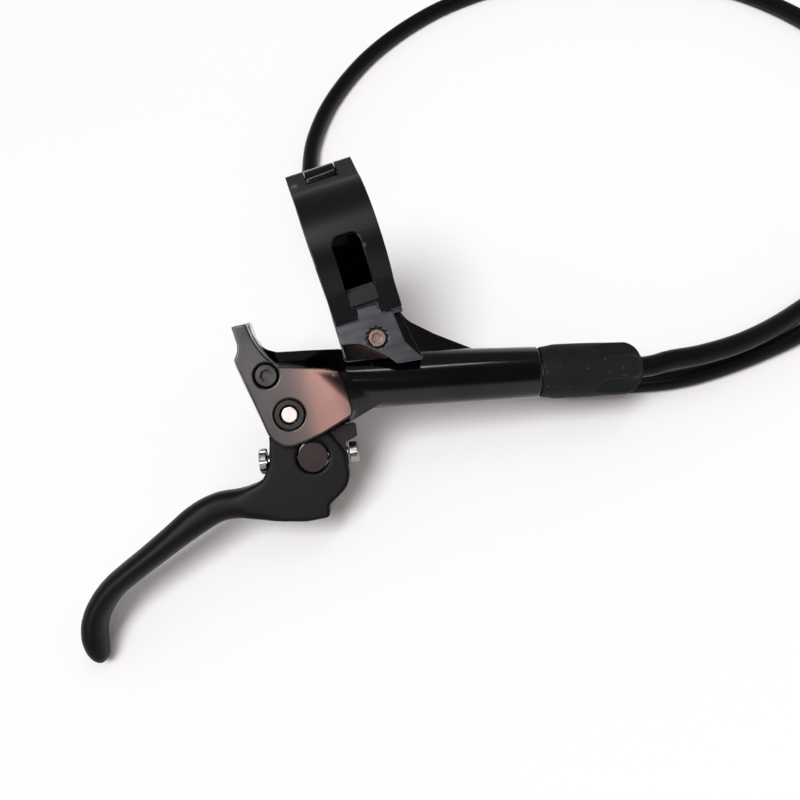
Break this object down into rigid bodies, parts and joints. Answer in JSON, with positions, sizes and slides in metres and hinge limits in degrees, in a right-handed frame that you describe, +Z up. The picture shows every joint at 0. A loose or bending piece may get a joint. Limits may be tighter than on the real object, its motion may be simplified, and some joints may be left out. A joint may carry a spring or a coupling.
{
  "type": "hydraulic disc brake lever",
  "caption": "Hydraulic disc brake lever with hinged bar clamp, master cylinder, forked finger blade, reach adjuster and free hose ending in a banjo fitting.",
  "frame": {"origin": "centre of the handlebar clamp", "axes": "+X along the handlebar towards the hose side, +Z up, -Y towards the front, where the lever swings"},
  "size_m": [0.2975, 0.2169, 0.0633],
  "materials": {
    "gloss_black": "gloss black anodised",
    "satin_black": "satin black anodised",
    "graphite": "dark turned steel",
    "rubber": "matt",
    "hose_black": "satin",
    "steel": "turned steel"
  },
  "bodies": {
    "master_cylinder": {"master_cylinder_body": "gloss_black", "hinge_pin": "steel", "lever_axle": "steel", "axle_bush_upper": "graphite", "axle_bush_lower": "graphite", "axle_clip": "steel", "bleed_screw": "graphite", "bleed_o_ring": "rubber", "piston_circlip": "steel", "return_spring": "steel", "hose_insert": "steel", "hose_olive": "steel", "hose_nut": "steel", "hose_boot": "rubber", "brake_hose": "hose_black", "hose_ferrule": "graphite", "banjo_fitting": "graphite"},
    "clamp_front": {"clamp_band": "satin_black"},
    "bolt": {"clamp_bolt": "steel"},
    "carrier": {"lever_carrier": "satin_black"},
    "blade": {"lever_blade": "satin_black", "barrel_pin": "graphite"},
    "adjuster": {"reach_screw": "steel", "reach_collar": "steel"},
    "piston_group": {"piston": "steel", "primary_cup": "rubber", "secondary_cup": "rubber", "push_rod": "steel"}
  },
  "joints": [
    {"name": "lever_swing", "type": "hinge", "parent": "master_cylinder", "child": "carrier", "pos_m": [-0.0242, -0.02472, -0.02341], "axis": [0, 0.5736, -0.8192], "range_deg": [0, 22], "stiffness_Nm_per_rad": 0.3, "springref_deg": -20.05},
    {"name": "piston_slide", "type": "slide", "parent": "master_cylinder", "child": "piston_group", "axis": [0.9613, -0.2258, -0.1581], "range_m": [0, 0.0029], "deforming": ["return_spring"]},
    {"name": "reach_adjust", "type": "hinge", "parent": "carrier", "child": "blade", "pos_m": [-0.0242, -0.02472, -0.02341], "axis": [0, 0.5736, -0.8192], "range_deg": [-4, 4]},
    {"name": "reach_screw_turn", "type": "hinge", "parent": "carrier", "child": "adjuster", "pos_m": [-0.02247, -0.03374, -0.02973], "axis": [0.9751, -0.1815, -0.1271], "range_deg": [-330, 330]},
    {"name": "band_hinge", "type": "hinge", "parent": "master_cylinder", "child": "clamp_front", "pos_m": [0, 0.01253, 0.00878], "axis": [-1, 0, 0], "range_deg": [0, 50]},
    {"name": "bolt_withdraw", "type": "slide", "parent": "clamp_front", "child": "bolt", "axis": [0, -0.5736, 0.8192], "range_m": [0, 0.0101]}
  ],
  "couplings": [
    {"joint": "piston_slide", "follows": "lever_swing", "m_per_rad": 0.0074},
    {"joint": "reach_screw_turn", "follows": "reach_adjust", "ratio": 81.3},
    {"joint": "bolt_withdraw", "follows": "band_hinge", "m_per_rad": 0.0115}
  ]
}
